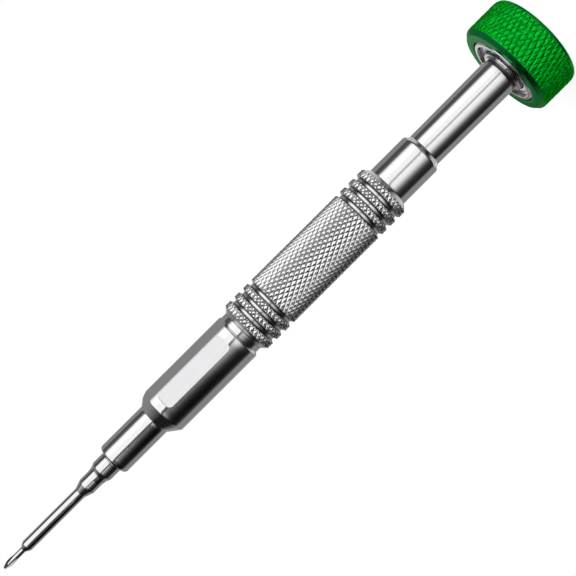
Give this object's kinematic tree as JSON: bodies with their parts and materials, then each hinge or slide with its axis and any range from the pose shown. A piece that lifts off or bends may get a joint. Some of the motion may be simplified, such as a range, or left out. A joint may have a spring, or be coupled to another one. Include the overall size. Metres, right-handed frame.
{
  "type": "precision screwdriver",
  "caption": "Slim all-metal precision screwdriver with a cross tip, knurled grip and a green knurled palm cap that turns freely on a shielded ball bearing.",
  "frame": {"origin": "centre of the swivel cap's flat end face, on which the tool stands", "axes": "+Z along the tool's axis from the cap to the tip; the label panel faces 12 degrees from -Y towards +X"},
  "size_m": [0.02, 0.02, 0.1379],
  "materials": {
    "blade_steel": "polished tool steel",
    "polished_steel": "turned and polished",
    "knurled_steel": "diamond knurled, polished",
    "bearing_steel": "ground and polished",
    "cage_steel": "pressed steel",
    "screw_steel": "black oxide",
    "green_aluminium": "green anodised, satin, fine knurl"
  },
  "bodies": {
    "handle": {"blade": "blade_steel", "front_sleeve": "polished_steel", "grip_barrel": "knurled_steel", "rear_spindle": "polished_steel", "bearing_spacer": "bearing_steel", "bearing_inner_race": "bearing_steel", "retaining_washer": "screw_steel", "retaining_screw": "screw_steel"},
    "cap": {"swivel_cap": "green_aluminium", "bearing_outer_race": "bearing_steel", "front_shield": "bearing_steel", "rear_shield": "bearing_steel", "front_snap_ring": "cage_steel", "rear_snap_ring": "cage_steel"},
    "ball_train": {"ball_cage": "cage_steel", "bearing_ball_1": "bearing_steel", "bearing_ball_2": "bearing_steel", "bearing_ball_3": "bearing_steel", "bearing_ball_4": "bearing_steel", "bearing_ball_5": "bearing_steel", "bearing_ball_6": "bearing_steel", "bearing_ball_7": "bearing_steel", "bearing_ball_8": "bearing_steel", "bearing_ball_9": "bearing_steel"}
  },
  "joints": [
    {"name": "cap_swivel", "type": "hinge", "parent": "handle", "child": "cap", "pos_m": [0, 0, 0.00625], "axis": [0, 0, 1], "continuous": true},
    {"name": "ball_train_spin", "type": "hinge", "parent": "handle", "child": "ball_train", "pos_m": [0, 0, 0.00625], "axis": [0, 0, 1], "continuous": true}
  ],
  "couplings": [
    {"joint": "ball_train_spin", "follows": "cap_swivel", "ratio": 0.59524}
  ]
}
